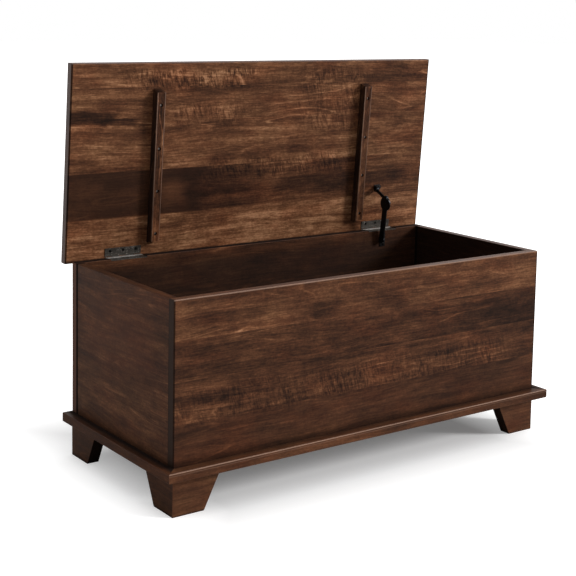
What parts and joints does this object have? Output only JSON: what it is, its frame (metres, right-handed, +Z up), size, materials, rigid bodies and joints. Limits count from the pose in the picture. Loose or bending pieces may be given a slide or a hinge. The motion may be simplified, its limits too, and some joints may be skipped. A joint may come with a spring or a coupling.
{
  "type": "blanket chest",
  "caption": "Long lidded wooden blanket chest of glued-up stained boards on tapered bracket feet, its butt-hinged lid held open by a folding metal stay.",
  "frame": {"origin": "on the floor, under the middle of the overall box that holds the chest with its lid open", "axes": "+Z up; +X to the right as seen from the front, along the chest's length; -Y out of the front, +Y to the back where the hinges are"},
  "size_m": [1.151, 0.541, 0.9567],
  "materials": {
    "case_wood": "satin, dark brown stain on maple",
    "inner_wood": "satin, dark brown stain",
    "lid_wood": "satin, dark brown stain on maple",
    "hinge_metal": "dark bronze plated",
    "stay_black": "black, semi-gloss",
    "rivet_steel": "plain steel"
  },
  "bodies": {
    "box": {"back_panel": "case_wood", "base_back_rail": "case_wood", "base_centre_rail": "inner_wood", "base_front_rail": "case_wood", "base_left_rail": "case_wood", "base_right_rail": "case_wood", "bottom_panel": "inner_wood", "foot_corner_blocks": "inner_wood", "foot_front_left_face": "case_wood", "foot_front_left_side": "case_wood", "foot_front_right_face": "case_wood", "foot_front_right_side": "case_wood", "foot_rear_left": "case_wood", "foot_rear_right": "case_wood", "front_panel": "case_wood", "hinge_box_leaf_left": "hinge_metal", "hinge_box_leaf_right": "hinge_metal", "hinge_pin_left": "hinge_metal", "hinge_pin_right": "hinge_metal", "left_side_panel": "case_wood", "right_side_panel": "case_wood", "stay_box_bracket": "stay_black", "stay_box_rivet": "rivet_steel"},
    "lid": {"lid_panel": "lid_wood", "batten_left": "lid_wood", "batten_right": "lid_wood", "hinge_lid_leaf_left": "hinge_metal", "hinge_lid_leaf_right": "hinge_metal", "stay_lid_bracket": "stay_black", "stay_lid_rivet": "rivet_steel"},
    "stay_lower": {"stay_lower_arm": "stay_black", "stay_elbow_rivet": "rivet_steel", "stay_stop_pin": "stay_black"},
    "stay_upper": {"stay_upper_arm": "stay_black"}
  },
  "joints": [
    {"name": "lid_hinge", "type": "hinge", "parent": "box", "child": "lid", "pos_m": [0, 0.24148, 0.4717], "axis": [1, 0, 0], "range_deg": [0, 85.6]},
    {"name": "stay_lower_pivot", "type": "hinge", "parent": "box", "child": "stay_lower", "pos_m": [0.3925, 0.20148, 0.4507], "axis": [1, 0, 0], "range_deg": [0, 85.6]},
    {"name": "stay_upper_pivot", "type": "hinge", "parent": "lid", "child": "stay_upper", "pos_m": [0.3895, 0.2261, 0.59087], "axis": [1, 0, 0], "range_deg": [-85.6, 0]}
  ],
  "couplings": [
    {"joint": "stay_lower_pivot", "follows": "lid_hinge", "ratio": 1},
    {"joint": "stay_upper_pivot", "follows": "lid_hinge", "ratio": -1}
  ]
}
